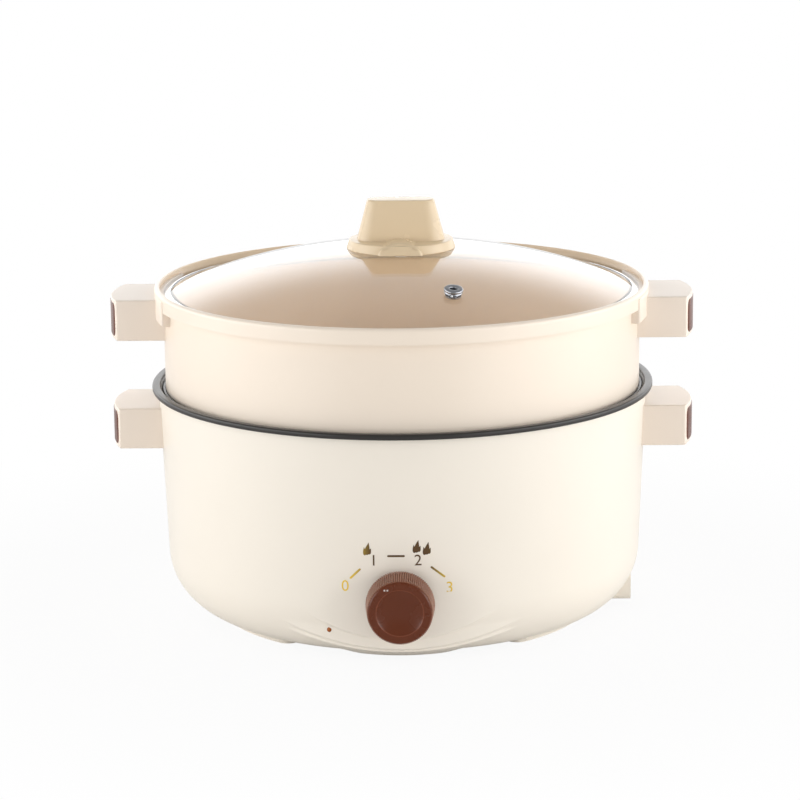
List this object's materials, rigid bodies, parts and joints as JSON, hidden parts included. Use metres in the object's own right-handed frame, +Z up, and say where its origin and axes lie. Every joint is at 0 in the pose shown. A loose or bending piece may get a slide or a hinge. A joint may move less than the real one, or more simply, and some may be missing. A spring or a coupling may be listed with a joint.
{
  "type": "electric hot pot with steamer",
  "caption": "Round electric hot pot: plastic-clad pan, lift-off steamer tier with block handles, domed glass lid with a tall grip, and a front rotary control.",
  "frame": {"origin": "on the pot's axis at the table top under its feet", "axes": "+Z up, -Y to the front where the knob is, +X to the right handle as seen from the front"},
  "size_m": [0.3436, 0.313, 0.2448],
  "materials": {
    "shell_plastic": "moulded cream plastic, satin gloss",
    "steamer_plastic": "moulded warm cream plastic, satin gloss",
    "brown_plastic": "moulded brown plastic",
    "beige_plastic": "moulded beige heat-proof plastic",
    "pan_coating": "aluminium with a dark non-stick coat",
    "heater_alloy": "cast aluminium",
    "plain_steel": "bare steel",
    "lid_steel": "bright rolled steel",
    "lid_glass": "clear tempered glass",
    "switch_plastic": "pale heat-proof plastic and ceramic",
    "lamp_amber": "amber lens",
    "pin_brass": "plated brass",
    "silicone": "translucent silicone",
    "brown_wire": "brown wire cover",
    "blue_wire": "blue wire cover",
    "green_wire": "green and yellow wire cover",
    "white_wire": "white glass-fibre sleeve"
  },
  "bodies": {
    "base": {"outer_shell": "shell_plastic", "pot_handle_left": "shell_plastic", "pot_handle_right": "shell_plastic", "inlet_housing": "shell_plastic", "bottom_cover": "shell_plastic", "foot_front_left": "shell_plastic", "foot_front_right": "shell_plastic", "foot_rear_left": "shell_plastic", "foot_rear_right": "shell_plastic", "pot_insert_left": "brown_plastic", "pot_insert_right": "brown_plastic", "inner_pan": "pan_coating", "heater_plate": "heater_alloy", "heating_element": "plain_steel", "pan_studs": "plain_steel", "heat_shield": "plain_steel", "stud_nuts": "plain_steel", "fuse_clamp": "plain_steel", "heater_screws": "plain_steel", "switch_washer": "plain_steel", "switch_nut": "plain_steel", "inlet_screws": "plain_steel", "cover_screws": "plain_steel", "pan_screws": "plain_steel", "pot_handle_screws": "plain_steel", "thermostat": "switch_plastic", "thermal_fuse": "switch_plastic", "rotary_switch": "switch_plastic", "lamp_holder": "switch_plastic", "lamp_lens": "lamp_amber", "inlet_pins": "pin_brass", "live_wire": "brown_wire", "neutral_wire": "blue_wire", "earth_wire": "green_wire", "link_wires": "white_wire"},
    "knob": {"control_knob": "brown_plastic", "switch_shaft": "plain_steel"},
    "steamer": {"steamer_basket": "steamer_plastic", "steamer_handle_left": "steamer_plastic", "steamer_handle_right": "steamer_plastic", "steamer_insert_left": "brown_plastic", "steamer_insert_right": "brown_plastic", "steamer_handle_screws": "plain_steel"},
    "lid": {"lid_glass": "lid_glass", "lid_band": "lid_steel", "vent_eyelet": "lid_steel", "lid_knob": "beige_plastic", "lid_gasket": "silicone", "lid_washer": "plain_steel", "lid_screw": "plain_steel"}
  },
  "joints": [
    {"name": "knob_turn", "type": "hinge", "parent": "base", "child": "knob", "pos_m": [0, -0.15, 0.0405], "axis": [0, 1, 0], "range_deg": [-50, 100]},
    {"name": "steamer_lift", "type": "slide", "parent": "base", "child": "steamer", "axis": [0, 0, 1], "range_m": [0, 0.12]},
    {"name": "lid_lift", "type": "slide", "parent": "steamer", "child": "lid", "axis": [0, 0, 1], "range_m": [0, 0.1]}
  ]
}
